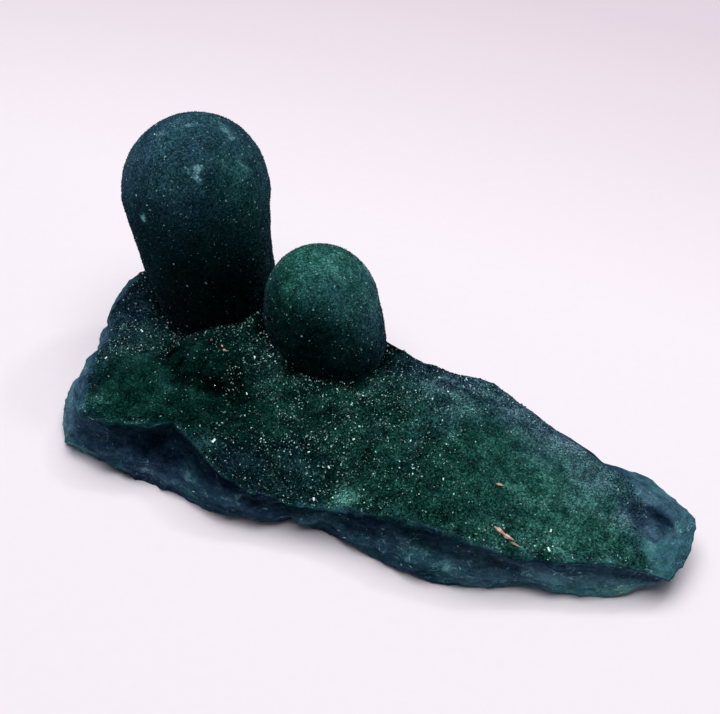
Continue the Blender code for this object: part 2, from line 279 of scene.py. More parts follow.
KNOBS = {"tall": TALL, "short": SHORT}


def lattice_numbers(cell, seed):
    """Three whole numbers from 0 to 1023 for each lattice cell, scrambled by products with large primes."""
    key = cell * (73856093, 19349663, 83492791)
    mixed = key[:, 0] ^ key[:, 1] ^ key[:, 2] ^ (seed * 2654435761)
    mixed = (mixed ^ (mixed >> 13)) * 1274126177 & 0xFFFFFFFF
    return np.stack([mixed >> shift & 1023 for shift in (2, 11, 20)], 1)


def noise(points, size, seed):
    """Smooth noise from -1 to 1: random slopes at the corners of a lattice of this size, blended between."""
    scaled = np.asarray(points, float) / size
    cell = np.floor(scaled).astype(np.int64)
    part = scaled - cell
    fade = part * part * part * (part * (part * 6 - 15) + 10)
    total = np.zeros(len(scaled))
    for corner in np.ndindex(2, 2, 2):
        corner = np.array(corner)
        slopes = lattice_numbers(cell + corner, seed) / 511.5 - 1
        share = np.where(corner, fade, 1 - fade).prod(1)
        total += share * ((part - corner) * slopes).sum(1)
    return total * 1.6


def bowls(points, size, seed):
    """Shallow bowls of about this size in millimetres with sharp ridges between them.

    Each cell of a lattice holds one bowl's centre. The value is 1 there, falls with the squared distance to
    the nearest centre, and is below 0 on a ridge.
    """
    scaled = np.asarray(points, float) / size
    cell = np.floor(scaled).astype(np.int64)
    nearest = np.full(len(scaled), np.inf)
    for step in np.ndindex(3, 3, 3):
        neighbour = cell + np.array(step) - 1
        centre = neighbour + lattice_numbers(neighbour, seed) / 1023
        nearest = np.minimum(nearest, ((scaled - centre) ** 2).sum(1))
    return 1 - nearest / 0.45


def smooth_step(value, low, high):
    """0 below low, 1 above high, and an S-shaped rise between them."""
    share = np.clip((value - low) / (high - low), 0, 1)
    return share * share * (3 - 2 * share)


def layers(points, table):
    """The sum of several layers of noise, each with its strength, its size in millimetres and its seed."""
    return sum(strength * noise(points, size, seed) for strength, size, seed in table)


def bell(distance, reach):
    """1 at no distance, falling to nearly 0 at twice the reach: the bell curve of the distance in reaches."""
    return np.exp(-((distance / reach) ** 2))


def spot_gap(points, centre_x, centre_y, radius):
    """Squared distance in plan from a spot's centre, in radii."""
    return ((points[:, 0] - centre_x) ** 2 + (points[:, 1] - centre_y) ** 2) / radius**2


def patches(points, table):
    """The sum of soft round patches in plan, each falling off as a bell curve."""
    return sum(share * np.exp(-spot_gap(points, *spot)) for *spot, share in table)


def unit(vectors):
    """The vectors, each made one long."""
    return vectors / np.linalg.norm(vectors, axis=1)[:, None]


def station_at(edge, along):
    """Each station value at shares 0..1 of the edge's length, straight between stations."""
    edge = np.array(edge)
    steps = np.linalg.norm(np.diff(edge[:, :2], axis=0), axis=1)
    share = np.concatenate([[0], np.cumsum(steps)]) / steps.sum()
    return np.stack([np.interp(along, share, column) for column in edge.T], 1)


def inside_edges(u, v):
    """The station values anywhere inside the four edges, blended from the edges as a Coons patch."""
    front, back = station_at(FRONT_EDGE, u), station_at(BACK_EDGE, u)
    broad, narrow = station_at(BROAD_END, v), station_at(NARROW_END, v)
    u, v = u[:, None], v[:, None]
    corners = (
        (1 - u) * (1 - v) * FRONT_EDGE[0]
        + u * (1 - v) * FRONT_EDGE[-1]
        + (1 - u) * v * BACK_EDGE[0]
        + u * v * BACK_EDGE[-1]
    )
    return (1 - v) * front + v * back + (1 - u) * broad + u * narrow - corners


def rim_distance(places):
    """Distance in plan from each place (x, y) to the nearest stretch of the rim."""
    rim = np.array(FRONT_EDGE + NARROW_END[1:] + BACK_EDGE[-2::-1] + BROAD_END[-2::-1])[:, :2]
    nearest = np.full(len(places), np.inf)
    for start, end in zip(rim[:-1], rim[1:]):
        stretch = end - start
        along = np.clip((places - start) @ stretch / (stretch @ stretch), 0, 1)
        gap = places - start - along[:, None] * stretch
        nearest = np.minimum(nearest, np.hypot(gap[:, 0], gap[:, 1]))
    return nearest


def outward(u, v, places):
    """Unit vectors in plan, pointing from the slab's long middle line to each place."""
    middle = inside_edges(np.clip(u, *MIDDLE_LINE), np.full_like(v, 0.5))[:, :2]
    away = places - middle
    return away / np.maximum(np.linalg.norm(away, axis=1), 1e-6)[:, None]


def in_scoop(points):
    """Places from the middle of the scoop along its length and across it, as shares of its half sizes."""
    across, along = points[:, 0] - SCOOP_CENTRE[0], points[:, 1] - SCOOP_CENTRE[1]
    turned_x = np.cos(SCOOP_TURN) * across + np.sin(SCOOP_TURN) * along
    turned_y = np.cos(SCOOP_TURN) * along - np.sin(SCOOP_TURN) * across
    return turned_x / SCOOP_HALF[0], turned_y / SCOOP_HALF[1]


def crust_height(points):
    """Height added to the upper face by the swellings, and taken from it by the dips and the scoop."""
    height = np.zeros(len(points))
    for *spot, swell, softness in SWELLINGS:
        height = np.maximum(height, swell * np.clip(1 - spot_gap(points, *spot), 0, 1) ** softness)
    for *spot, depth in DIPS:
        height -= depth * np.clip(1 - spot_gap(points, *spot), 0, 1)
    scoop_x, scoop_y = in_scoop(points)
    return height - SCOOP_DEPTH * np.clip(1 - scoop_x**2 - scoop_y**2, 0, 1) ** SCOOP_SOFTNESS


def slab_points(u, v, w):
    """Carries the box onto the stone: u runs along it, v across it and w from the foot (0) to the rim (1).

    The place is blended from the rim's and foot's lines. The side is then pushed out or in by its ledge, its
    hollow, its layers, sharp-crested noise and bowls, and the top is raised by the bevel, the crown, the
    swellings and soft noise. Returns the points and how bare of crust each one is, from 0 to 1.
    """
    stations = inside_edges(u, v)
    rim, foot = stations[:, :3], stations[:, 3:5]
    hollow, ledge, bevel = stations[:, 5:].T
    inwards = rim_distance(rim[:, :2])
    at_edge = bell(inwards, SIDE_REACH)
    points = np.column_stack([foot + (rim[:, :2] - foot) * w[:, None], rim[:, 2] * w])

    # the broken side, pushed out or in; both ends are worn smoother
    body = np.clip(4 * w * (1 - w), 0, 1) ** 0.5
    climb = LAYERS_UP * w + layers(points, LAYER_WAVES)
    layer = LAYER_DEPTH * (climb - np.floor(climb) - 0.5)
    breaks = BREAK_DEPTH * (0.9 - 2.4 * np.abs(noise(points, BREAK_SIZE, 11)))
    wear = 1 - 0.7 * np.maximum(smooth_step(rim[:, 0], 27, 32), smooth_step(-rim[:, 0], 27, 31))
    flat = points * (1, 1, 1.7)
    chips = -0.20 * bowls(flat, 2.6, 18) * body - 0.12 * bowls(flat, 1.2, 19) - 0.05 * bowls(flat, 0.6, 20)
    push = ledge * np.interp(w, *LEDGE_UP) - hollow * np.interp(w, *HOLLOW_UP)
    push = push + (0.7 * layer * body + breaks * (0.3 + 0.7 * body)) * wear + chips
    points[:, :2] += outward(u, v, rim[:, :2]) * (push * at_edge)[:, None]

    # the upper face
    past_bevel = np.maximum(inwards - bevel, 0)
    rise = BEVEL_SLOPE * np.minimum(inwards, bevel)
    rise += CROWN_HEIGHT * (1 - bell(past_bevel, CROWN_REACH))
    crust = crust_height(points) * np.clip(past_bevel / SWELL_REACH, 0, 1)
    ripple = layers(points, CRUST_RIPPLE) * np.clip(inwards, 0, 1)
    grain = layers(points, CRUST_GRAIN) * np.clip(inwards / GRAIN_REACH, 0.3, 1)
    points[:, 2] += w * (rise + crust + ripple + grain)

    # the underside
    dip = layers(points, HOLLOWS) - HOLLOWS_SHUT
    lift = LIFT_AT_EDGE * bell(inwards, LIFT_REACH)
    points[:, 2] += (1 - w) * np.maximum(dip + lift, 0)

    # bare past the end of the crust, where the rim is chipped, and on the sides
    ragged = layers(points, RAGGED_EDGE)
    past_crust = (points[:, :2] @ CRUST_END[:2] - CRUST_END[2]) / np.hypot(*CRUST_END[:2])
    past_crust = 0.6 * past_crust + layers(points, RAGGED_END)
    chipped = patches(points, CHIPPED_RIM) - inwards
    bare = smooth_step(np.maximum(past_crust, chipped) + ragged, -0.9, 0.9)
    bare = np.maximum(bare, smooth_step(0.94 - w + 0.1 * ragged, 0.0, 0.06))
    return points, bare


def box_skin(cells):
    """The lattice points on the six faces of a box cut into cells, as shares 0..1, and the quads on them."""
    quads = []
    for axis in range(3):
        first, second = [other for other in range(3) if other != axis]
        steps = np.meshgrid(np.arange(cells[first]), np.arange(cells[second]), indexing="ij")
        base = np.zeros((steps[0].size, 3), np.int64)
        base[:, first], base[:, second] = steps[0].ravel(), steps[1].ravel()
        walk = [(0, 0), (1, 0), (1, 1), (0, 1)]
        for level in (0, cells[axis]):
            turn = walk if (level > 0) == (axis != 1) else walk[::-1]
            corners = np.repeat(base[:, None, :], 4, axis=1)
            corners[:, :, first] += [step[0] for step in turn]
            corners[:, :, second] += [step[1] for step in turn]
            corners[:, :, axis] = level
            quads.append(corners)
    spans = np.array(cells) + 1
    keys, faces = np.unique(np.ravel_multi_index(np.concatenate(quads).T, spans).T, return_inverse=True)
    return np.column_stack(np.unravel_index(keys, spans)) / np.array(cells), faces.reshape(-1, 4)


def tip_height(knob):
    """How high a stalactite's tip stands above its foot."""
    shoulder, radius = knob["profile"][-1]
    return shoulder + radius * knob["crown"]


def knob_profile(knob):
    """(radius, height) from the tip of a stalactite's crown, a half ellipse, down its wall to its root."""
    heights, radii = np.array(knob["profile"]).T
    shoulder, radius = heights[-1], radii[-1]
    crown_rings = knob["rings"] // 2
    turn = np.linspace(np.pi / 2, 0, crown_rings, endpoint=False)[1:]
    crown = [radius * np.cos(turn), shoulder + radius * knob["crown"] * np.sin(turn)]
    down = np.linspace(shoulder, -KNOB_ROOT, knob["rings"] - crown_rings)
    return np.concatenate([crown, [np.interp(down, heights, radii), down]], axis=1)


def knob_points(places, knob):
    """Roughens an upright turned stalactite a little, leans and bends it, and sets it on its foot."""
    height = places[:, 2]
    swell = 1 + 0.012 * noise(places + 40, 6.0, knob["seed"])
    swell += (0.09 * noise(places, 2.2, knob["seed"] + 2) + 0.05 * noise(places, 0.9, knob["seed"] + 4)) / 8
    x = places[:, 0] * swell + knob["foot"][0] + knob["lean"][0] * height + knob["bend"] * height**2
    y = places[:, 1] * swell + knob["foot"][1] + knob["lean"][1] * height
    return np.column_stack([x, y, height + KNOB_FOOT_Z])


def knob_skin(knob):
    """Rings of points round the stalactite from crown to root, a point at each end, and the faces on them."""
    radii, heights = knob_profile(knob)
    sides = knob["sides"]
    angle = np.arange(sides) * 2 * np.pi / sides
    upright = np.repeat(heights[:, None], sides, axis=1)
    rings = np.stack([radii[:, None] * np.cos(angle), radii[:, None] * np.sin(angle), upright], -1)
    points = np.concatenate([rings.reshape(-1, 3), [(0.0, 0.0, tip_height(knob)), (0.0, 0.0, -KNOB_ROOT)]])
    ring, side = np.meshgrid(np.arange(len(radii) - 1), np.arange(sides), indexing="ij")
    here, beside = ring * sides + side, ring * sides + (side + 1) % sides
    walls = np.stack([here, here + sides, beside + sides, beside], -1).reshape(-1, 4)
    side = np.arange(sides)
    after, last = (side + 1) % sides, (len(radii) - 1) * sides
    crown_cap = np.stack([np.full(sides, len(points) - 2), side, after], -1)
    root_cap = np.stack([np.full(sides, len(points) - 1), last + after, last + side], -1)
    return knob_points(points, knob), walls.tolist() + crown_cap.tolist() + root_cap.tolist()


# ---------------- meshes


def write_mesh(name, points, faces, smooth=True):
    """A mesh from points in millimetres and a list or array of faces."""
    mesh = bpy.data.meshes.new(name)
    mesh.from_pydata((points * MM).tolist(), [], faces if isinstance(faces, list) else faces.tolist())
    mesh.polygons.foreach_set("use_smooth", np.full(len(mesh.polygons), smooth))
    mesh.update()
    return mesh


def add_piece(name, mesh, *materials):
    """An object at the origin that shows the mesh in its materials."""
    for material in materials:
        mesh.materials.append(material)
    return show(name, mesh)


def set_values(mesh, name, values, domain="POINT"):
    """Stores each point's value on it, or on the corners round it, which a Boolean carries over."""
    if domain == "CORNER":
        corners = np.empty(len(mesh.loops), np.int32)
        mesh.loops.foreach_get("vertex_index", corners)
        values = values[corners]
    mesh.attributes.new(name, "FLOAT", domain).data.foreach_set("value", np.asarray(values, np.float32))


# ---------------- materials

# Colours by lightness for the crust, and by the height of their pattern for the breaks: position and colour.
GREEN_CRUST = ((0.0, "#010b09"), (0.3, "#0b302b"), (0.6, "#24584f"), (1.0, "#559c8f"))
BLUE_CRUST = ((0.0, "#050d14"), (0.3, "#162c3b"), (0.6, "#2f4d60"), (1.0, "#739ca9"))
SLATE_BREAKS = ((0.30, "#08131f"), (0.45, "#1b2f43"), (0.58, "#324b62"), (0.75, "#57768c"), (1.0, "#93b4be"))
TEAL_BREAKS = ((0.30, "#05171f"), (0.45, "#11323d"), (0.58, "#25525c"), (0.75, "#468288"), (1.0, "#8accbc"))

# Sizes of the patterns in millimetres. The felt's crystals and the needles are microscopic, so both are drawn
# as coarse as they need to be to show at all.
FELT_GRAIN, NEEDLE_TUFT = 0.17, 0.16
CHIP_SPOT, SLATE_SPOT, DENT_DEPTH = 2.2, 4.5, 0.4
FIBRE_STREAK, EMBOSS = 0.5, 1.2
# Patterns of the layered breaks: size, how many times finer detail is added, and how strong it is.
CLOUD, STREAK = (3.0, 6.0, 0.65), (0.7, 5.0, 0.7)
CHIP_LINE, DENT = (1.6, 5.0, 0.6), (0.9, 7.0, 0.75)
# How the layers of the breaks are tilted, in radians, and squashed along x, y and z.
LAYER_TILT, LAYER_SQUASH = (0.2, 0.25, 0.0), (0.6, 0.6, 2.0)
# How far behind the origin the card's painted shade starts and stops growing darker, in metres.
CARD_SHADE = (0.035, 0.115)


def srgb(code):
    """A hex colour such as #1f4b52 as linear red, green, blue and alpha."""
    values = np.array([int(code[start : start + 2], 16) for start in (1, 3, 5)]) / 255
    linear = np.where(values <= 0.04045, values / 12.92, ((values + 0.055) / 1.055) ** 2.4)
    return (*linear.tolist(), 1.0)


def feed(material, node, inputs):
    """Links an output to each named input of a node, or sets a hex colour or plain value on the socket."""
    for name, value in inputs.items():
        if isinstance(value, bpy.types.NodeSocket):
            material.node_tree.links.new(value, node.inputs[name])
        else:
            node.inputs[name].default_value = srgb(value) if isinstance(value, str) else value


def add_node(material, kind, inputs, output=0, stops=(), **settings):
    """Adds a node with its settings, colour stops and inputs, and returns one of its outputs."""
    made = material.node_tree.nodes.new("ShaderNode" + kind)
    for name, value in settings.items():
        setattr(made, name, value)
    while stops and len(made.color_ramp.elements) < len(stops):
        made.color_ramp.elements.new(0.5)
    for place, (position, code) in enumerate(stops):
        made.color_ramp.elements[place].position = position
        made.color_ramp.elements[place].color = srgb(code)
    feed(material, made, inputs)
    return made.outputs[output]


def new_material(name):
    """A material and the function that adds nodes to it."""
    material = bpy.data.materials.new(name)
    material.use_nodes = True
    return material, partial(add_node, material)


def finished(material, inputs):
    """The material, once its surface shader has these inputs."""
    feed(material, material.node_tree.nodes["Principled BSDF"], inputs)
    return material


def per_metre(millimetres):
    """The scale of a pattern on metre coordinates whose features are this many millimetres across."""
    return 1000.0 / millimetres


def grains(node, place, size, darkest, lightest):
    """Grains of this many millimetres, as the faces of tiny crystals.

    For each grain: a random value from 0 to 1, mostly low; the same carried to darkest..lightest; and a
    random offset for the surface normal.
    """
    cells = node("TexVoronoi", {"Vector": place, "Scale": per_metre(size)}, "Color")
    value = node("SeparateColor", {"Color": cells})
    value = node("Math", {0: value, 1: value}, operation="MULTIPLY")
    tone = node("MapRange", {"Value": value, "To Min": darkest, "To Max": lightest})
    return value, tone, node("VectorMath", {0: cells, 1: (0.5, 0.5, 0.5)}, operation="SUBTRACT")


def tipped_normal(node, base, offset, strength):
    """The base normal with the offset, times its strength, added to it."""
    offset = node("VectorMath", {0: offset, "Scale": strength}, operation="SCALE")
    tipped = node("VectorMath", {0: base, 1: offset}, operation="ADD")
    return node("VectorMath", {0: tipped}, operation="NORMALIZE")


def crust_colour(node):
    """Crust colour from the mesh's lightness and blueness: green, or slate blue that is partly painted
    reflection.
    """
    light, blue = (node("Attribute", {}, "Fac", attribute_name=name) for name in ("light", "blue"))
    green_crust = node("ValToRGB", {"Fac": light}, stops=GREEN_CRUST)
    blue_crust = node("ValToRGB", {"Fac": light}, stops=BLUE_CRUST)
    return node("Mix", {0: blue, 6: green_crust, 7: blue_crust}, 2, data_type="RGBA")


def crust_and_breaks():
    """Malachite, grown and broken.

    The grown face is a felt of microscopic crystals: dark green and dull between the larger ones. The breaks
    are solid malachite: slate blue to turquoise, faintly layered parallel to the grown face, with paler chips.
    They have no specular reflection; their waxy sheen is a painted reflection in the slate blue.
    """
    material, node = new_material("druse_crust_and_waxy_breaks")
    place = node("TexCoord", {}, "Object")
    looks = ("bare", "chip", "blue")
    bare, chip, blue = (node("Attribute", {}, "Fac", attribute_name=name) for name in looks)
    value, tone, offset = grains(node, place, FELT_GRAIN, 0.35, 1.9)
    crust = node("VectorMath", {0: crust_colour(node), "Scale": tone}, operation="SCALE")

    # cloudy layers, flattened and tilted as the stone's are
    flat = node("Mapping", {"Vector": place, "Rotation": LAYER_TILT, "Scale": LAYER_SQUASH})
    cloud, streak, edge, dents = (
        node("TexNoise", {"Vector": flat, "Scale": per_metre(size), "Detail": detail, "Roughness": rough})
        for size, detail, rough in (CLOUD, STREAK, CHIP_LINE, DENT)
    )
    layered = node("Math", {0: cloud, 1: 0.55}, operation="MULTIPLY")
    layered = node("Math", {0: streak, 1: 0.45, 2: layered}, operation="MULTIPLY_ADD")
    # thin pale lines, in places, where a layer has chipped
    edge = node("Math", {0: edge, 1: 0.5}, operation="SUBTRACT")
    edge = node("Math", {0: edge}, operation="ABSOLUTE")
    line = node("MapRange", {"Value": edge, "From Min": 0.018, "From Max": 0.0, "To Max": 0.3})
    spot = node("TexNoise", {"Vector": place, "Scale": per_metre(CHIP_SPOT), "Detail": 2.0, "Roughness": 0.6})
    spot = node("MapRange", {"Value": spot, "From Min": 0.5, "From Max": 0.6})
    layered = node("Math", {0: line, 1: spot, 2: layered}, operation="MULTIPLY_ADD")
    layered = node("Math", {0: chip, 1: 0.25, 2: layered}, operation="MULTIPLY_ADD")
    # slate in some places and teal in others; chips are turquoise, and bluer stone is slate, partly a painted
    # reflection
    hue = node("TexNoise", {"Vector": place, "Scale": per_metre(SLATE_SPOT), "Detail": 3.0, "Roughness": 0.6})
    hue = node("MapRange", {"Value": hue, "From Min": 0.40, "From Max": 0.62})
    turquoise = node("MapRange", {"Value": chip, "From Min": 0.35, "From Max": 0.9, "To Max": 1.5})
    hue = node("Math", {0: hue, 1: turquoise}, operation="MAXIMUM")
    slate = node("MapRange", {"Value": blue, "To Min": 1.0, "To Max": 0.15})
    hue = node("Math", {0: hue, 1: slate}, operation="MULTIPLY")
    slate = node("ValToRGB", {"Fac": layered}, stops=SLATE_BREAKS)
    teal = node("ValToRGB", {"Fac": layered}, stops=TEAL_BREAKS)
    broken = node("Mix", {0: hue, 6: slate, 7: teal}, 2, data_type="RGBA")
    tone = node("MapRange", {"Value": value, "To Min": 0.85, "To Max": 1.3})
    broken = node("VectorMath", {0: broken, "Scale": tone}, operation="SCALE")

    dents = node("Bump", {"Height": dents, "Distance": DENT_DEPTH * MM})
    strength = node("MapRange", {"Value": bare, "To Min": 0.9, "To Max": 0.25})
    inputs = {
        "Base Color": node("Mix", {0: bare, 6: crust, 7: broken}, 2, data_type="RGBA"),
        "Normal": tipped_normal(node, dents, offset, strength),
        "Roughness": node("MapRange", {"Value": bare, "To Min": 0.75, "To Max": 0.5}),
        "IOR": 1.6,
        "Specular IOR Level": 0.0,
    }
    return finished(material, inputs)


def velvet():
    """Fibrous malachite skin: needles too fine for the eye to part, so it is matt, and nearly black low down.

    On the crowns and where rubbed it is paler, with flecks of turquoise; the dark low down is partly painted
    shade.
    """
    material, node = new_material("velvety_malachite_fibre")
    _, tone, offset = grains(node, node("TexCoord", {}, "Object"), NEEDLE_TUFT, 0.45, 2.1)
    inputs = {
        "Base Color": node("VectorMath", {0: crust_colour(node), "Scale": tone}, operation="SCALE"),
        "Normal": tipped_normal(node, node("NewGeometry", {}, "Normal"), offset, 0.7),
        "Roughness": 0.8,
        "IOR": 1.6,
        "Specular IOR Level": 0.0,
        "Sheen Weight": 0.32,
        "Sheen Roughness": 0.35,
        "Sheen Tint": "#648fb0",
    }
    return finished(material, inputs)


def crystal_grains(name, roughness, level):
    """Free-standing malachite crystals, of the colour of the crust they stand on, each with its own tone."""
    material, node = new_material(name)
    tone, pale = (node("Attribute", {}, "Fac", attribute_name=name) for name in ("tone", "pale"))
    # pale crystals turn pale turquoise, partly pale malachite and partly painted glints
    colour = node("Mix", {0: pale, 6: crust_colour(node), 7: "#a6d4cc"}, 2, data_type="RGBA")
    colour = node("VectorMath", {0: colour, "Scale": tone}, operation="SCALE")
    inputs = {"Base Color": colour, "Roughness": roughness, "IOR": 1.85, "Specular IOR Level": level}
    return finished(material, inputs)


def dry_crumb(name, darker, lighter):
    """Dry plant fibre or a grain of grit caught in the crystals, streaked between two colours."""
    material, node = new_material(name)
    place = node("TexCoord", {}, "Object")
    inputs = {"Vector": place, "Scale": per_metre(FIBRE_STREAK), "Detail": 3.0, "Roughness": 0.6}
    streaks = node("TexNoise", inputs)
    colour = node("ValToRGB", {"Fac": streaks}, stops=((0.35, darker), (0.6, lighter)))
    return finished(material, {"Base Color": colour, "Roughness": 0.8, "Specular IOR Level": 0.1})


def pale_card():
    """Pale card, a little pinker and darker behind the stone, the darkening painted shade, with a faint
    embossed grain.
    """
    material, node = new_material("pale_card")
    place = node("TexCoord", {}, "Object")
    far = node("SeparateXYZ", {"Vector": place}, "Y")
    far = node("MapRange", {"Value": far, "From Min": CARD_SHADE[0], "From Max": CARD_SHADE[1]})
    grain = node("TexNoise", {"Vector": place, "Scale": per_metre(EMBOSS), "Detail": 2.0, "Roughness": 0.6})
    grain = node("MapRange", {"Value": grain, "To Min": 0.985, "To Max": 1.015})
    card = node("Mix", {0: far, 6: "#f3ecf3", 7: "#dfd2dc"}, 2, data_type="RGBA")
    card = node("VectorMath", {0: card, "Scale": grain}, operation="SCALE")
    return finished(material, {"Base Color": card, "Roughness": 0.9, "Specular IOR Level": 0.1})


# ---------------- the stone

# Cells of the box along the slab, across it and up its sides, and how far they crowd towards the rim.
CELLS = (250, 96, 30)
CROWDING = 0.35

# Where the crust is paler or darker than its neighbours, some of it painted shade and painted light: centre
# (x, y), radius, lightness added.
LIGHTER_AND_SHADED = (
    (-24.0, -10.0, 4.5, 0.10),
    (-31.0, -9.5, 3.5, 0.22),
    (-28.0, -1.0, 4.5, 0.16),
    (-26.9, -13.3, 1.3, 0.30),
    (-17.0, -4.0, 4.5, -0.12),
    # painted shade round the left and lower edge of the swelling at (-17.6, -1.2), and in the hollow below it
    (-23.6, -1.5, 1.1, -0.22),
    (-22.4, -3.8, 1.1, -0.22),
    (-20.8, -5.9, 1.1, -0.20),
    (-18.4, -7.0, 1.1, -0.18),
    (-15.5, -6.6, 1.4, -0.20),
    (-13.8, -4.8, 1.3, -0.14),
    (-11.7, -7.4, 2.0, -0.14),
    (-12.1, -13.6, 0.8, 0.50),
    (-7.0, -11.0, 5.0, -0.10),
    (2.8, -9.0, 5.0, -0.08),
    (20.0, -10.0, 4.0, 0.10),
    (3.5, -12.7, 1.2, 0.75),
    (-10.0, -0.6, 3.2, 0.16),
    (7.3, 5.3, 4.0, 0.12),
    (10.0, 8.5, 3.5, 0.20),
    (16.5, 6.0, 3.5, 0.26),
    (22.5, 3.8, 3.0, 0.20),
    (9.5, 1.0, 2.6, 0.14),
    (25.5, -0.5, 2.2, 0.20),
    (13.0, 1.0, 5.0, 0.04),
    (20.2, -1.9, 6.0, 0.17),
    (28.0, -6.0, 5.0, 0.16),
    (-31.0, -1.0, 2.5, 0.10),
    (3.0, -6.5, 3.0, 0.12),
    (23.3, -8.9, 3.0, 0.10),
    (4.9, 3.8, 2.5, 0.10),
    (-7.8, -6.7, 2.5, 0.10),
    (-3.2, -8.7, 2.5, -0.08),
    (27.5, -3.4, 2.5, -0.08),
    # painted shade and painted light at the scoop's left rim
    (30.0, -2.2, 0.7, -0.25),
    (30.4, -4.3, 1.5, 0.25),
)
# Where it is slate blue, along the back rim partly a painted reflection of the pale room, or stays green:
# centre (x, y), radius, blueness added.
BLUER_AND_PAINTED_REFLECTION = (
    (-33.0, 3.0, 7.0, 0.9),
    (-29.0, -2.0, 5.0, 0.2),
    (-34.0, -9.0, 5.0, 0.8),
    (8.0, 8.0, 5.0, 0.9),
    (16.0, 6.0, 4.5, 0.9),
    (22.0, 4.0, 4.0, 0.9),
    (2.0, 8.0, 5.0, 0.5),
    (32.0, 1.0, 6.0, 0.7),
    (9.5, 1.0, 3.0, 0.35),
    (25.5, -0.5, 2.5, 0.4),
    (-30.0, -12.5, 3.0, 0.7),
    (-10.0, 0.8, 4.0, 0.35),
    (-9.0, -14.0, 3.0, 0.7),
    (-3.0, -12.5, 4.0, 0.5),
    (32.2, -2.4, 2.2, 0.5),
    (30.2, -3.2, 1.5, 0.5),
    (-20.0, -16.0, 4.0, -0.5),
)
# How much bluer the broken sides are, partly a painted reflection of the pale room, and how much more so near
# both ends, where they are paler too.
SIDE_BLUENESS = 0.5
END_BLUENESS = 0.4
END_PALENESS = 0.4
# Reach of the thin pale lip on the front rim, and the y in front of which the rim counts as the front.
LIP_REACH, FRONT_FROM = 0.45, -7
# Layers of noise in the looks: strength, size in millimetres, seed.
LIP_WAVES = ((2.2, 1.5, 50),)
MOTTLE = ((0.20, 2.4, 41), (0.14, 0.9, 42))
BLUE_CLOUDS = ((0.2, 3.0, 43),)
KNOB_MOTTLE = ((0.10, 3.2, 44), (0.06, 1.2, 45), (0.05, 0.6, 49))
KNOB_CLOUDS = ((0.25, 4.0, 46),)
KNOB_PATCH_WAVES = ((1.2, 0.9, 51),)
CHIP_WAVES = ((0.4, 0.5, 53),)
# Height of the edge between the two layers of the broken side, as a share, along x.
DARK_FOOT = ((-14, -6, 22, 30), (0.36, 0.68, 0.68, 0.42))
# Paler turquoise chips on the broken stone, and painted shade in a hollow: centre (x, y, z), radius, how much
# paler.
PALE_CHIPS_AND_SHADE = (
    (3.5, -14.4, 4.4, 1.2, 0.4),
    (-12.3, -14.4, 6.9, 0.6, 0.5),
    (-26.9, -13.6, 6.4, 1.2, 0.6),
    (-13.6, -15.4, 3.0, 0.7, 0.7),
    (-16.2, -15.2, 3.0, 1.9, -0.25),
    (-21.5, -16.0, 3.4, 1.4, 0.35),
    (-13.6, -16.3, 4.4, 1.0, 0.5),
    (1.0, -14.2, 2.6, 1.0, 0.4),
    (15.3, -14.3, 2.5, 0.7, 0.8),
    (18.3, -12.6, 3.0, 0.45, 1.3),
    (17.8, -13.9, 1.9, 0.42, 1.2),
    (6.8, -14.6, 4.0, 0.7, 0.7),
    (8.0, -14.8, 3.4, 0.5, 0.7),
    (10.8, -14.8, 4.2, 0.35, 0.8),
    (11.5, -15.0, 2.2, 0.35, 0.7),
    (14.9, -14.6, 3.4, 0.4, 0.8),
    (20.8, -12.7, 1.3, 0.5, 0.9),
    (27.7, -9.8, 2.6, 0.38, 1.3),
    (32.8, -5.4, 5.6, 1.3, 0.12),
    (34.7, -1.6, 5.0, 0.9, 0.30),
    (28.0, 3.0, 5.8, 1.8, 0.12),
)
# Rubbed or knocked places on the stalactites, with painted light and shade on their flanks and a painted
# glint:
# centre (x, y, z), radius, lightness added.
RUBBED_AND_PAINTED_LIGHT = (
    (-22.6, 4.6, 26.9, 0.40, 0.70),
    (-22.3, 4.1, 26.3, 0.40, 0.70),
    # a painted glint
    (-27.5, 1.0, 21.2, 0.35, 1.0),
    (-22.4, 10.4, 28.4, 0.6, 0.30),
    (-21.3, 9.9, 28.0, 0.5, 0.30),
    (-25.6, 8.4, 29.2, 0.5, 0.25),
    (-28.4, 6.8, 28.3, 0.7, 0.25),
    (-18.9, 8.8, 25.6, 0.7, 0.25),
    (-19.3, 7.6, 25.4, 0.5, 0.25),
    # painted light on the upper left and right flanks of the tall stalactite
    (-31.5, 6.5, 23.5, 4.5, 0.12),
    (-16.5, 7.0, 18.0, 4.0, 0.20),
    (-10.9, 2.4, 16.3, 0.7, 0.30),
    (-9.0, 4.6, 18.0, 2.4, 0.12),
    (-4.8, 10.3, 14.9, 1.2, 0.22),
    # painted light on the right flank of the short stalactite
    (-1.4, 6.0, 12.0, 3.6, 0.42),
    (-7.4, 0.4, 13.0, 3.6, -0.19),
    # painted shade on the left flank of the short stalactite, beside the tall one
    (-14.8, 2.5, 12.5, 4.5, -0.20),
    (-12.3, 2.2, 15.1, 1.8, -0.14),
    (-10.0, 4.9, 18.0, 1.8, -0.07),
    (-7.2, 6.4, 18.0, 2.2, 0.10),
    (-27.1, 1.4, 14.8, 2.5, 0.05),
)


def at_front_rim(points, reach):
    """1 on the front rim, falling off in plan as a bell curve of this reach."""
    return bell(rim_distance(points[:, :2]), reach) * (points[:, 1] < FRONT_FROM)


def lip_share(points):
    """How much of the thin pale lip along the front rim each point is: it comes and goes along the rim."""
    return at_front_rim(points, LIP_REACH) * np.clip(layers(points, LIP_WAVES) + 0.1, 0, 1)


def beside_foot(points, knob):
    """Distance in plan from the foot of a stalactite's wall."""
    x, y = knob["foot"]
    return np.hypot(points[:, 0] - x, points[:, 1] - y) - knob["profile"][0][1]


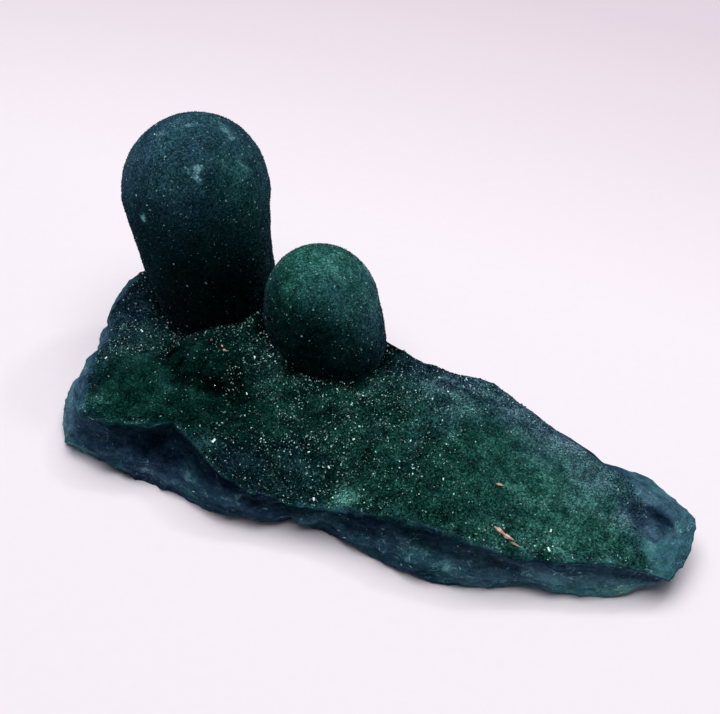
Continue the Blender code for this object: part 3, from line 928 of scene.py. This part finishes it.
def crust_looks(points):
    """Lightness and blueness of the crust, 0 to 1: darker along the rim, and painted shade round the
    stalactites.
    """
    # painted shade: the crust grows darker towards the broad end
    light = 0.31 + 0.20 * smooth_step(points[:, 0], -16, 26)
    light += patches(points, LIGHTER_AND_SHADED)
    light += layers(points, MOTTLE)
    # painted shade round the foot of each stalactite
    for knob in KNOBS.values():
        light -= 0.30 * bell(beside_foot(points, knob), 1.2)
    light += 0.25 * lip_share(points)
    light -= 0.14 * at_front_rim(points, 0.8)
    blue = patches(points, BLUER_AND_PAINTED_REFLECTION) + layers(points, BLUE_CLOUDS)
    return np.clip(light, 0, 1), np.clip(blue, 0, 1)


def knob_looks(points, knob):
    """Lightness and blueness of a stalactite's skin: pale on the crown and dark below, the dark partly painted
    shade.
    """
    top = KNOB_FOOT_Z + tip_height(knob)
    crown = smooth_step(points[:, 2], top - knob["pale_reach"], top + 1.0)
    light = 0.06 + knob["paleness"] * crown + layers(points, KNOB_MOTTLE) * (0.4 + crown)
    ragged = np.maximum(1 + layers(points, KNOB_PATCH_WAVES), 0.3)
    # rubbed spots, with painted light and shade on the flanks and a painted glint
    for *centre, radius, change in RUBBED_AND_PAINTED_LIGHT:
        light = light + change * np.exp(-ragged * ((points - centre) ** 2).sum(1) / radius**2)
    # painted sheen: one side of the stalactite is made bluer
    blue = knob["blueness"] * (0.55 + 0.6 * crown) + knob["painted_sheen_slope"] * (points[:, 0] - knob["foot"][0])
    blue += layers(points, KNOB_CLOUDS)
    return np.clip(light, 0, 1), np.clip(blue, 0, 1)


def near_ends(x):
    """1 near both ends of the slab and 0 in the middle."""
    return smooth_step(x, 13, 20) + smooth_step(-x, 22, 28)


def chip_share(points, w):
    """How pale the broken stone is at each point: a dark glassy layer under the crust, a dusty one below."""
    x, y = points[:, 0], points[:, 1]
    side, top = w < 1, w == 1
    dark_foot = np.interp(x, *DARK_FOOT)
    share = 0.2 * smooth_step(dark_foot - w, 0.0, 0.12)
    darkness = 0.15 + 0.35 * smooth_step(x, -26, -18) - 0.1 * smooth_step(x, 20, 26)
    share = share - darkness * smooth_step(w - dark_foot, 0.0, 0.12) * smooth_step(1.0 - w, 0.0, 0.02)
    # paler towards both ends, and at the near corner of the broad one
    share = share + (0.1 + 0.5 * (1 - w)) * smooth_step(x, 22, 34) * side + 0.35 * smooth_step(-x, 27, 33)
    share = share + 0.7 * smooth_step(x, 24, 31.5) * top + END_PALENESS * near_ends(x) * side
    share = share + (0.2 + 0.3 * side) * smooth_step(-x, 24, 30) * smooth_step(-y, 4, 9)
    share = share + 0.35 * np.maximum(noise(points, 2.2, 47) - 0.15, 0)
    # painted shade: the scoop's floor is a little darker, and its back wall, turned away from the light, much
    # darker
    scoop_x, scoop_y = in_scoop(points)
    from_middle = np.hypot(scoop_x, scoop_y)
    share = share - 0.25 * smooth_step(1 - from_middle, -0.1, 0.4) * top
    wall = bell(from_middle - 0.85, 0.16)
    share = share - 0.7 * wall * smooth_step(scoop_y - 0.35 * scoop_x, -0.1, 0.5) * top
    ragged = layers(points, CHIP_WAVES)
    for *centre, radius, change in PALE_CHIPS_AND_SHADE:
        near = np.exp(-((points - centre) ** 2).sum(1) / radius**2)
        share = share + change * smooth_step(near + ragged, 0.35, 0.6)
    return np.clip(share, -0.8, 1)


def build_stone(crust, skin):
    """The slab's box skin carried onto the stone, with both stalactites joined on."""
    box, quads = box_skin(CELLS)
    crowded = box - CROWDING * np.sin(2 * np.pi * box) / (2 * np.pi)
    height = box[:, 2]
    points, bare = slab_points(crowded[:, 0], crowded[:, 1], height)
    light, blue = crust_looks(points)
    # the broken sides bluer towards the rim: slate, partly a painted reflection of the pale room
    slate = (SIDE_BLUENESS + END_BLUENESS * near_ends(points[:, 0])) * (0.4 + 0.7 * height)
    blue = np.clip(blue + slate * (height < 0.9), 0, 1)
    slab = write_mesh("slab", points, quads)
    looks = {"bare": bare, "light": light, "blue": blue, "chip": chip_share(points, height)}
    for label, values in looks.items():
        set_values(slab, label, values, "CORNER")
    plain = add_piece("plain_slab", slab, crust, skin)
    helpers = [plain]
    for name, knob in KNOBS.items():
        skin_points, faces = knob_skin(knob)
        mesh = write_mesh(name, skin_points, faces)
        for label, values in zip(("light", "blue"), knob_looks(skin_points, knob)):
            set_values(mesh, label, values, "CORNER")
        finger = add_piece(name, mesh, crust, skin)
        mesh.polygons.foreach_set("material_index", np.ones(len(mesh.polygons), np.int32))
        union = plain.modifiers.new(name, "BOOLEAN")
        union.operation, union.solver, union.object = "UNION", "MANIFOLD", finger
        helpers.append(finger)
    graph = bpy.context.evaluated_depsgraph_get()
    joined = bpy.data.meshes.new_from_object(plain.evaluated_get(graph))
    for helper in helpers:
        bpy.data.objects.remove(helper)
    return show("stone", joined)


# ---------------- crystals and crumbs

# Pieces of fine crystals on the crust, then how many crystals or chips a piece has at most, and its seed. A
# stalactite's own seed is added to that of its crystals and flecks.
CRUST_PIECES = 4
CRUST_COUNT, CRUST_SEED = 15500, 100
BRIGHT_COUNT, BRIGHT_SEED = 4000, 110
CHIP_COUNT, CHIP_SEED = 1500, 120
FIBRE_SEED = 180
FLECK_COUNT, FLECK_SEED = 420, 190
GLINT_SEED, CRUMB_SEED = 301, 302
# Kinds of crystal: shortest and longest in millimetres, how far they tip at random, and girth by length.
FINE = ((0.07, 0.21), 0.6, 0.52)
BRIGHT = ((0.08, 0.22), 0.6, 0.52)
CHIP = ((0.08, 0.40), 0.2, 0.25)
FIBRE = ((0.05, 0.12), 0.8, 0.52)
FLECK = ((0.08, 0.24), 0.1, 0.52)

# Places where most crystals are pale or bright, the pale ones partly painted glints: centre (x, y), radius,
# how far.
SPARKLING = (
    (-10.0, 0.4, 4.0, 1.2),
    (-28.2, -0.6, 4.5, 0.6),
    (-29.0, -6.0, 3.0, 0.25),
    (-3.2, -9.0, 6.0, 0.45),
    (0.0, -1.0, 6.0, 0.4),
    (4.0, -12.0, 4.0, 0.4),
    (3.6, -12.8, 1.5, 1.0),
    (7.0, 2.0, 5.0, 0.3),
    (24.0, -9.0, 3.5, 0.35),
)
# Places where they stay too fine to see one by one.
FELTED = (
    (-23.5, -9.5, 5.0, 0.9),
    (-17.5, -9.6, 3.5, 0.7),
    (-20.0, -3.0, 2.6, 0.6),
    (20.5, -2.5, 6.0, 0.8),
    (27.0, -5.0, 4.5, 0.7),
    (13.5, 2.0, 4.0, 0.4),
)
# Larger clean crystals: place (x, y) and size.
GLINTS = (
    (-28.5, -0.9, 0.20),
    (-28.5, -7.4, 0.14),
    (-30.2, 0.2, 0.11),
    (-27.4, -3.3, 0.14),
    (-23.0, -3.6, 0.12),
    (-11.9, -5.4, 0.15),
    (-13.2, -1.8, 0.16),
    (-11.9, -12.7, 0.24),
    (-2.2, -9.3, 0.13),
    (0.9, -13.5, 0.18),
    (1.3, -6.2, 0.13),
    (0.6, -10.2, 0.16),
    (24.2, -9.7, 0.24),
    (23.6, -8.4, 0.14),
    (12.7, -8.5, 0.13),
    (5.6, 6.9, 0.13),
    (8.2, 7.5, 0.12),
    (27.9, -0.3, 0.10),
)
# The splinters of dry fibre, and the fleck of pink grit: place (x, y), length, girth and turn in degrees.
SPLINTERS = (
    (19.15, -10.60, 1.9, 0.38, -18),
    (20.00, -10.86, 2.3, 0.44, -14),
    (20.90, -11.15, 1.4, 0.28, -18),
    (17.4, -6.4, 0.8, 0.26, 8),
    (-16.5, -2.6, 0.8, 0.28, -40),
    (-16.0, -3.0, 0.6, 0.24, -10),
)
GRIT = ((-18.2, -2.1, 0.34, 0.26, 0),)

# The faces of an octahedron, whose corners are four round its middle and its two tips, and of a plate.
RING = ((0, 1), (1, 2), (2, 3), (3, 0))
OCTAHEDRON = np.array([(a, b, 4) for a, b in RING] + [(b, a, 5) for a, b in RING])
PLATE = np.array([(3, 2, 1, 0), (4, 5, 6, 7), (0, 1, 5, 4), (1, 2, 6, 5), (2, 3, 7, 6), (3, 0, 4, 7)])


def slopes_of(surface, u, v, step=0.002):
    """Points of a surface of two parameters, its unit normals, and the area a unit of parameters covers."""
    here = surface(u, v)
    along_u = (surface(u + step, v) - here) / step
    along_v = (surface(u, v + step) - here) / step
    across = np.cross(along_u, along_v)
    area = np.linalg.norm(across, axis=1)
    return here, across / area[:, None], area


def crust_surface(u, v):
    """The slab's upper face."""
    return slab_points(u, v, np.ones_like(u))[0]


def front_surface(u, w):
    """The slab's broken front side."""
    return slab_points(u, np.zeros_like(u), w)[0]


def knob_surface(knob):
    """The stalactite as a surface of two shares: u round it, and v down its profile from the tip."""
    radii, heights = knob_profile(knob)
    radii, heights = np.append(0.0, radii), np.append(tip_height(knob), heights)
    run = np.append(0.0, np.cumsum(np.hypot(np.diff(radii), np.diff(heights))))
    run /= run[-1]

    def surface(u, v):
        """A circle of the profile's radius at its height, then roughened and leant."""
        radius, height = np.interp(v, run, radii), np.interp(v, run, heights)
        angle = u * 2 * np.pi
        return knob_points(np.column_stack([radius * np.cos(angle), radius * np.sin(angle), height]), knob)

    return surface


def chosen(chances, rng, count=None):
    """The numbers of the places that are kept, at most count of them, when each has its own chance."""
    return np.flatnonzero(rng.uniform(size=len(chances)) < chances)[:count]


def random_across(axes, rng):
    """Unit vectors at right angles to these, turned at random."""
    return unit(np.cross(axes, rng.normal(size=axes.shape)))


def scatter_on_crust(count, seed):
    """Places and normals for crystals on the crust, even by area, and none on bare stone."""
    rng = np.random.default_rng(seed)
    u, v = rng.uniform(0.003, 0.995, (2, count * 2))
    points, normals, area = slopes_of(crust_surface, u, v)
    bare = slab_points(u, v, np.ones_like(u))[1]
    wanted = np.clip(1 - 1.2 * bare, 0, 1) * area / np.percentile(area, 98)
    for knob in KNOBS.values():
        wanted *= beside_foot(points, knob) > 0
    kept = chosen(wanted, rng, count)
    return points[kept], normals[kept], rng


def scatter_on_knob(knob, count, seed):
    """Places and normals for crystals on a stalactite, even by area."""
    rng = np.random.default_rng(seed)
    u, v = rng.uniform(0.0, 0.99, (2, count * 3))
    points, normals, area = slopes_of(knob_surface(knob), u, v)
    wanted = (area / np.percentile(area, 98)) * (points[:, 2] > KNOB_FOOT_Z + 0.6)
    kept = chosen(wanted, rng, count)
    return points[kept], -normals[kept], rng


def scatter_flecks(knob, count, seed):
    """Places for flecks on a stalactite, more where it is pale, and long axes that lie in its surface."""
    points, normals, rng = scatter_on_knob(knob, 12 * count, seed)
    light, _ = knob_looks(points, knob)
    kept = chosen(0.004 + 0.38 * light, rng, count)
    return points[kept], random_across(normals[kept], rng), rng


def scatter_on_front(count, seed):
    """Places for chips on the broken front, more where it is pale, and long axes that lie in it."""
    rng = np.random.default_rng(seed)
    u, w = rng.uniform(0.01, 0.99, count), rng.uniform(0.12, 0.99, count)
    points, normals, _ = slopes_of(front_surface, u, w)
    share = chip_share(points, w) + 0.5 * noise(points, 1.4, 52) + 0.5 * smooth_step(w, 0.93, 0.98)
    kept = chosen(np.clip(0.6 * share, 0.03, 1), rng)
    upright = rng.normal((0.0, 0.0, 1.0), 0.5, (len(kept), 3))
    return points[kept], unit(np.cross(normals[kept], upright)), rng


def nearest_points(table, places):
    """For each listed (x, y), the scattered point nearest to it."""
    gaps = np.hypot(*(np.array(table)[:, None, :2] - places[0][:, :2]).T)
    return places[0][gaps.argmin(0)]


def solid_mesh(name, corners, faces):
    """One mesh of many equal solids, flat-faced, from each corner's place on all of them."""
    count, last = len(corners[0]), faces.max()
    every = (np.arange(count)[:, None, None] * (last + 1) + faces).reshape(-1, faces.shape[1])
    return write_mesh(name, np.stack(corners, 1).reshape(-1, 3), every, smooth=False)


def crystal_corners(centres, normals, sizes, rng, tilt, girth):
    """Octahedra of random lengths across, each with its long axis tipped at random from the surface normal.

    Each corner is the centre plus or minus one of the crystal's three axes; the buried tip is half as long.
    girth is the share of the length that they measure across.
    """
    axis = unit(normals + rng.normal(0, tilt, normals.shape))
    first = random_across(axis, rng)
    second = np.cross(axis, first)
    tall = (sizes * rng.uniform(0.7, 1.3, len(sizes)))[:, None] * axis
    wide = first * (sizes * girth * rng.uniform(0.67, 1.33, len(sizes)))[:, None]
    deep = second * (sizes * girth * rng.uniform(0.67, 1.33, len(sizes)))[:, None]
    return [centres + step for step in (wide, deep, -wide, -deep, tall, -tall * 0.5)]


def add_crystals(name, places, looks_of, kind, material):
    """One piece of many small closed crystals. looks_of gives their light, blue, tone and pale."""
    centres, normals, rng = places
    looks = looks_of(centres, rng)
    (shortest, longest), tilt, girth = kind
    sizes = shortest + (longest - shortest) * rng.uniform(size=len(centres)) ** 2
    corners = crystal_corners(centres, normals, sizes, rng, tilt, girth)
    mesh = solid_mesh(name, corners, OCTAHEDRON)
    for label, values in zip(("light", "blue", "tone", "pale"), looks):
        set_values(mesh, label, np.repeat(values, len(corners)))
    return add_piece(name, mesh, material)


def add_glints(name, table, places, material):
    """Larger crystals cleaved flat: plates whose broad face mirrors the light overhead towards the eye.

    Each corner is the centre plus or minus the plate's two sides and its thickness.
    """
    rng = np.random.default_rng(GLINT_SEED)
    size = np.array(table)[:, 2:]
    centres = nearest_points(table, places) + np.array((0, 0, 0.35)) * size
    facing = unit(np.array(OVERHEAD) / MM - centres) + view_directions()[2]
    facing = unit(facing + rng.normal(0, 0.08, facing.shape))
    length = random_across(facing, rng) * size
    width = np.cross(facing, length) * rng.uniform(0.35, 0.6, len(size))[:, None]
    depth = facing * size * 0.35
    round_face = ((-1, -1), (1, -1), (1, 1), (-1, 1))
    corners = [centres + a * length + b * width + c * depth for c in (-1, 1) for a, b in round_face]
    mesh = solid_mesh(name, corners, PLATE)
    # painted highlight: the plates are made pale and light, on top of their own reflection
    for label, value in (("light", 0.9), ("blue", 0.3), ("tone", 1.1), ("pale", 0.8)):
        set_values(mesh, label, np.full(len(mesh.vertices), value))
    return add_piece(name, mesh, material)


def add_crumbs(name, table, places, material):
    """Splinters lying on the crystals. Each row is a place (x, y), a length, a girth and degrees turned."""
    rng = np.random.default_rng(CRUMB_SEED)
    x, y, length, girth, turn = np.array(table).T
    height = nearest_points(table, places)[:, 2] + 0.5 * girth + 0.05
    along = np.stack([np.cos(np.radians(turn)), np.sin(np.radians(turn)), np.full(len(x), 0.06)], 1)
    centres = np.stack([x, y, height], 1)
    corners = crystal_corners(centres, along, length * 0.6, rng, 0.05, girth / length)
    return add_piece(name, solid_mesh(name, corners, OCTAHEDRON), material)


def crust_crystal_looks(points, rng):
    """Light, blue, tone and pale for crystals on the crust: pale ones where it sparkles, few in the felt."""
    light, blue = crust_looks(points)
    felted = patches(points, FELTED)
    sparkle = np.clip(0.40 + patches(points, SPARKLING) - felted, 0.03, 1.5)
    sparkle = sparkle * np.clip(1 + 1.2 * noise(points, 1.8, 48), 0.1, 2) + 1.5 * lip_share(points)
    count = len(points)
    tone = 0.08 + 2.1 * rng.uniform(size=count) ** 2.2
    felt = np.clip(felted, 0, 0.8)
    tone = tone * (1 - 0.7 * felt) + 0.65 * felt
    pale = np.where(rng.uniform(size=count) < 0.42 * sparkle, rng.uniform(0, 1, count) ** 1.2, 0.0)
    return light, blue, tone, pale


def chip_looks(points, rng):
    """The same for chips of pale broken malachite, tinted slate or teal."""
    count = len(points)
    blue, tone, pale = (rng.uniform(low, high, count) for low, high in ((0, 1), (0.5, 1.2), (0, 0.8)))
    return np.full(count, 0.8), blue, tone, pale


def knob_crystal_looks(points, rng, knob):
    """The same for the crystals on a stalactite, a few of them pale."""
    light, blue = knob_looks(points, knob)
    count = len(points)
    tone = 0.15 + 2.1 * rng.uniform(size=count) ** 2
    pale = np.where(rng.uniform(size=count) < 0.06 + 0.25 * light, rng.uniform(0.05, 0.4, count), 0.0)
    return light, blue, tone, pale


def fleck_looks(points, rng, knob):
    """The same for the turquoise flecks on a stalactite."""
    count = len(points)
    return *knob_looks(points, knob), rng.uniform(0.6, 1.1, count), rng.uniform(0.15, 0.8, count)


def add_floor():
    """The pale card under the stone, which is no part of it."""
    mesh = bpy.data.meshes.new("floor")
    corners = [(FLOOR_HALF * x, FLOOR_HALF * y, 0) for x, y in ((-1, -1), (1, -1), (1, 1), (-1, 1))]
    mesh.from_pydata(corners, [], [(0, 1, 2, 3)])
    floor = add_piece("floor", mesh, pale_card())
    floor.location.z = -FLOOR_DROP


def main():
    """The camera, the light and the card, then the stone with its crystals and crumbs, all on the root."""
    add_camera()
    add_lights()
    add_floor()
    crust, skin = crust_and_breaks(), velvet()
    # small or stained crystals are dull; clean ones have smooth bright faces, of malachite's high index
    dull = crystal_grains("malachite_fine_crystals", 0.6, 0.0)
    bright = crystal_grains("malachite_bright_crystals", 0.1, 0.6)
    stone = build_stone(crust, skin)
    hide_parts(NODE)
    pieces = [stone]
    for number in range(CRUST_PIECES):
        places = scatter_on_crust(CRUST_COUNT, CRUST_SEED + number)
        name = f"crust_crystals_{number + 1}"
        pieces.append(add_crystals(name, places, crust_crystal_looks, FINE, dull))
    places = scatter_on_crust(BRIGHT_COUNT, BRIGHT_SEED)
    pieces.append(add_glints("large_crystals", GLINTS, places, bright))
    fibre = dry_crumb("dry_plant_fibre", "#b58d75", "#e6c9b4")
    grit = dry_crumb("pink_grit", "#8d5a62", "#b98088")
    pieces.append(add_crumbs("fibre_splinters", SPLINTERS, places, fibre))
    pieces.append(add_crumbs("grit", GRIT, places, grit))
    pieces.append(add_crystals("bright_crystals", places, crust_crystal_looks, BRIGHT, bright))
    places = scatter_on_front(CHIP_COUNT, CHIP_SEED)
    pieces.append(add_crystals("broken_chips", places, chip_looks, CHIP, dull))
    for name, knob in KNOBS.items():
        places = scatter_on_knob(knob, knob["crystals"], FIBRE_SEED + knob["seed"])
        looks_of = partial(knob_crystal_looks, knob=knob)
        pieces.append(add_crystals(f"{name}_finger_crystals", places, looks_of, FIBRE, dull))
    for name, knob in KNOBS.items():
        places = scatter_flecks(knob, FLECK_COUNT, FLECK_SEED + knob["seed"])
        looks_of = partial(fleck_looks, knob=knob)
        pieces.append(add_crystals(f"{name}_finger_flecks", places, looks_of, FLECK, dull))
    for piece in pieces:
        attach(piece, "root")


main()
